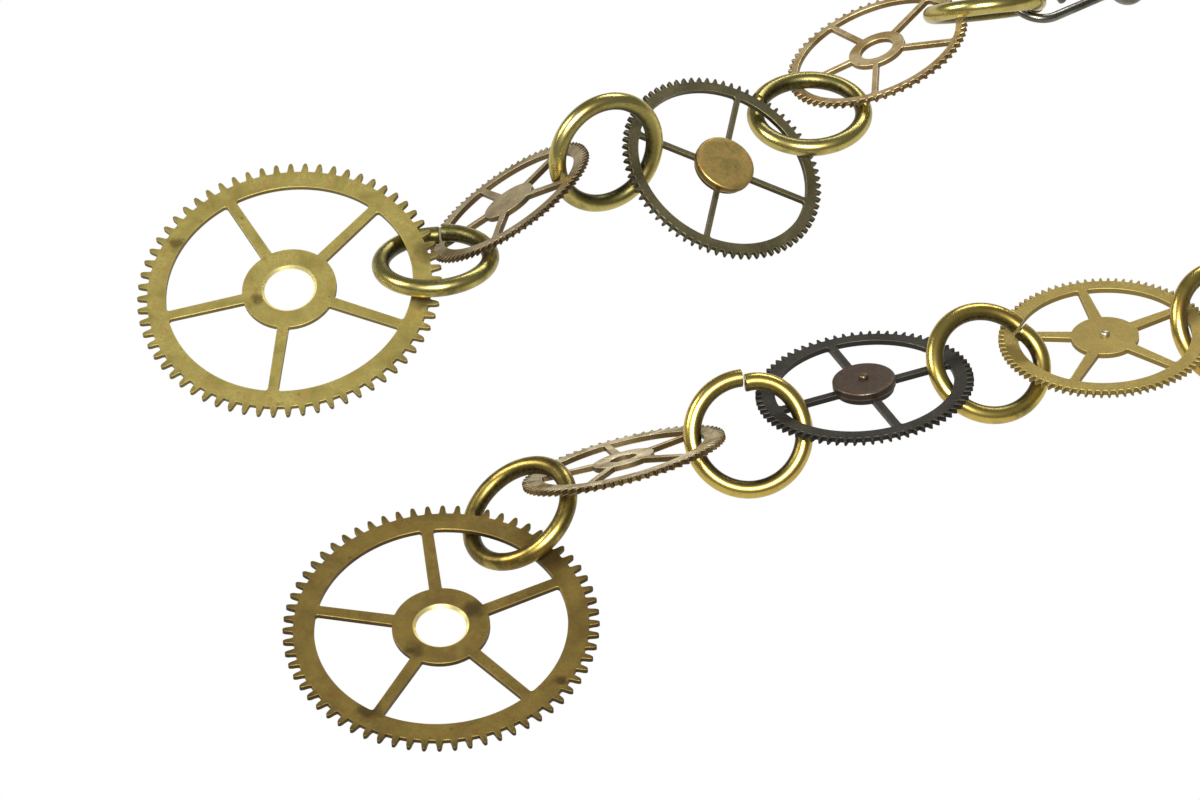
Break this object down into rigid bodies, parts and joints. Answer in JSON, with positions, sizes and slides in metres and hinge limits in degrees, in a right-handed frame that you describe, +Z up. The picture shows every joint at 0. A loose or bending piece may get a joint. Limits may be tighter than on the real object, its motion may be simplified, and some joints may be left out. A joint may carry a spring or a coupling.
{
  "type": "pair of drop earrings",
  "caption": "Pair of long drop earrings: toothed watch wheels of falling size hung one from another on cut round-wire jump rings, each drop on a hook ear wire.",
  "frame": {"origin": "on the table, under the middle of the laid-out pair", "axes": "+Z up from the table, +X the way the drops run, from the big wheels towards the ear wires"},
  "size_m": [0.0872, 0.0774, 0.0107],
  "materials": {
    "antique_brass": "glossy antique brass with dark hollows",
    "olive_brass": "satin, aged, with tarnish blotches",
    "yellow_brass": "satin, aged, with orange tarnish",
    "rose_gilt": "satin pale rose gilding",
    "taupe_gilt": "satin worn gilding",
    "blackened_steel": "blackened, satin",
    "brown_bronze": "dark brown, satin",
    "worn_steel": "bright worn tip",
    "dark_bronze": "dark, satin",
    "disc_brass": "satin, mottled",
    "pale_gilt": "matte pale gilding",
    "warm_gilt": "satin warm gilding",
    "ear_wire_metal": "dull grey"
  },
  "bodies": {
    "front_big_wheel_body": {"front_big_wheel": "olive_brass"},
    "front_jump_ring_1_body": {"front_jump_ring_1": "antique_brass"},
    "front_wheel_2_body": {"front_wheel_2": "rose_gilt"},
    "front_jump_ring_2_body": {"front_jump_ring_2": "antique_brass"},
    "front_wheel_3_body": {"front_wheel_3": "blackened_steel", "front_wheel_3_disc": "brown_bronze", "front_wheel_3_pivot": "worn_steel"},
    "front_jump_ring_3_body": {"front_jump_ring_3": "antique_brass"},
    "front_wheel_4_body": {"front_wheel_4": "pale_gilt", "front_wheel_4_pivot": "worn_steel"},
    "front_jump_ring_4_body": {"front_jump_ring_4": "antique_brass"},
    "front_ear_wire_body": {"front_ear_wire": "ear_wire_metal", "front_ear_wire_ball": "ear_wire_metal"},
    "rear_big_wheel_body": {"rear_big_wheel": "yellow_brass"},
    "rear_jump_ring_1_body": {"rear_jump_ring_1": "antique_brass"},
    "rear_wheel_2_body": {"rear_wheel_2": "taupe_gilt"},
    "rear_jump_ring_2_body": {"rear_jump_ring_2": "antique_brass"},
    "rear_wheel_3_body": {"rear_wheel_3": "dark_bronze", "rear_wheel_3_disc": "disc_brass"},
    "rear_jump_ring_3_body": {"rear_jump_ring_3": "antique_brass"},
    "rear_wheel_4_body": {"rear_wheel_4": "warm_gilt"},
    "rear_jump_ring_4_body": {"rear_jump_ring_4": "antique_brass"},
    "rear_ear_wire_body": {"rear_ear_wire": "ear_wire_metal", "rear_ear_wire_ball": "ear_wire_metal"}
  },
  "joints": [
    {"name": "front_big_wheel_swing", "type": "hinge", "parent": "front_jump_ring_1_body", "child": "front_big_wheel_body", "pos_m": [-0.02025, -0.02405, 0.00153], "axis": [-0.0349, -0.0604, 0.9976], "range_deg": [-5, 25]},
    {"name": "front_jump_ring_1_swing", "type": "hinge", "parent": "front_wheel_2_body", "child": "front_jump_ring_1_body", "pos_m": [-0.01675, -0.01982, 0.00416], "axis": [-0.2944, 0.9542, -0.0538], "range_deg": [-2, 34]},
    {"name": "front_wheel_2_swing", "type": "hinge", "parent": "front_jump_ring_2_body", "child": "front_wheel_2_body", "pos_m": [-0.00898, -0.01643, 0.00431], "axis": [0.1198, -0.7566, -0.6428], "range_deg": [-35, 35]},
    {"name": "front_jump_ring_2_swing", "type": "hinge", "parent": "front_wheel_3_body", "child": "front_jump_ring_2_body", "pos_m": [-0.00231, -0.01489, 0.00486], "axis": [0.5744, -0.7741, 0.2662], "range_deg": [-4, 15]},
    {"name": "front_wheel_3_swing", "type": "hinge", "parent": "front_jump_ring_3_body", "child": "front_wheel_3_body", "pos_m": [0.00626, -0.01179, 0.00491], "axis": [0.3981, -0.781, -0.4812], "range_deg": [-35, 29]},
    {"name": "front_jump_ring_3_swing", "type": "hinge", "parent": "front_wheel_4_body", "child": "front_jump_ring_3_body", "pos_m": [0.0126, -0.00925, 0.00431], "axis": [0.4496, -0.8704, 0.2008], "range_deg": [-2, 29]},
    {"name": "front_wheel_4_swing", "type": "hinge", "parent": "front_jump_ring_4_body", "child": "front_wheel_4_body", "pos_m": [0.02127, -0.00641, 0.0041], "axis": [0.1559, -0.7925, -0.5897], "range_deg": [-35, 35]},
    {"name": "front_jump_ring_4_swing", "type": "hinge", "parent": "front_ear_wire_body", "child": "front_jump_ring_4_body", "pos_m": [0.02676, -0.00266, 0.00307], "axis": [0.2588, -0.9659, 0], "range_deg": [-35, 0]},
    {"name": "rear_big_wheel_swing", "type": "hinge", "parent": "rear_jump_ring_1_body", "child": "rear_big_wheel_body", "pos_m": [-0.02829, 0.00036, 0.00348], "axis": [-0.1008, -0.1818, 0.9781], "range_deg": [-35, 12]},
    {"name": "rear_jump_ring_1_swing", "type": "hinge", "parent": "rear_wheel_2_body", "child": "rear_jump_ring_1_body", "pos_m": [-0.02281, 0.00248, 0.00325], "axis": [-0.545, 0.3147, 0.7771], "range_deg": [-19, 22]},
    {"name": "rear_wheel_2_swing", "type": "hinge", "parent": "rear_jump_ring_2_body", "child": "rear_wheel_2_body", "pos_m": [-0.01715, 0.0047, 0.00633], "axis": [0.2768, -0.1767, -0.9445], "range_deg": [-35, 35]},
    {"name": "rear_jump_ring_2_swing", "type": "hinge", "parent": "rear_wheel_3_body", "child": "rear_jump_ring_2_body", "pos_m": [-0.01148, 0.00746, 0.00503], "axis": [0.1601, -0.9548, -0.2504], "range_deg": [-5, 28]},
    {"name": "rear_wheel_3_swing", "type": "hinge", "parent": "rear_jump_ring_3_body", "child": "rear_wheel_3_body", "pos_m": [-0.00359, 0.01206, 0.00277], "axis": [0.7426, -0.6662, 0.0687], "range_deg": [-5, 6]},
    {"name": "rear_jump_ring_3_swing", "type": "hinge", "parent": "rear_wheel_4_body", "child": "rear_jump_ring_3_body", "pos_m": [0.0006, 0.01749, 0.00231], "axis": [-0.3522, 0.2034, 0.9135], "range_deg": [-5, 5]},
    {"name": "rear_wheel_4_swing", "type": "hinge", "parent": "rear_jump_ring_4_body", "child": "rear_wheel_4_body", "pos_m": [0.0067, 0.02301, 0.00344], "axis": [0.0741, -0.6911, 0.7189], "range_deg": [-10, 5]},
    {"name": "rear_jump_ring_4_swing", "type": "hinge", "parent": "rear_ear_wire_body", "child": "rear_jump_ring_4_body", "pos_m": [0.01353, 0.02397, 0.00349], "axis": [0.6157, -0.788, 0], "range_deg": [-35, 3]},
    {"name": "pair_spacing", "type": "slide", "parent": "front_ear_wire_body", "child": "rear_ear_wire_body", "axis": [0, 1, 0], "range_m": [0, 0.05]}
  ]
}
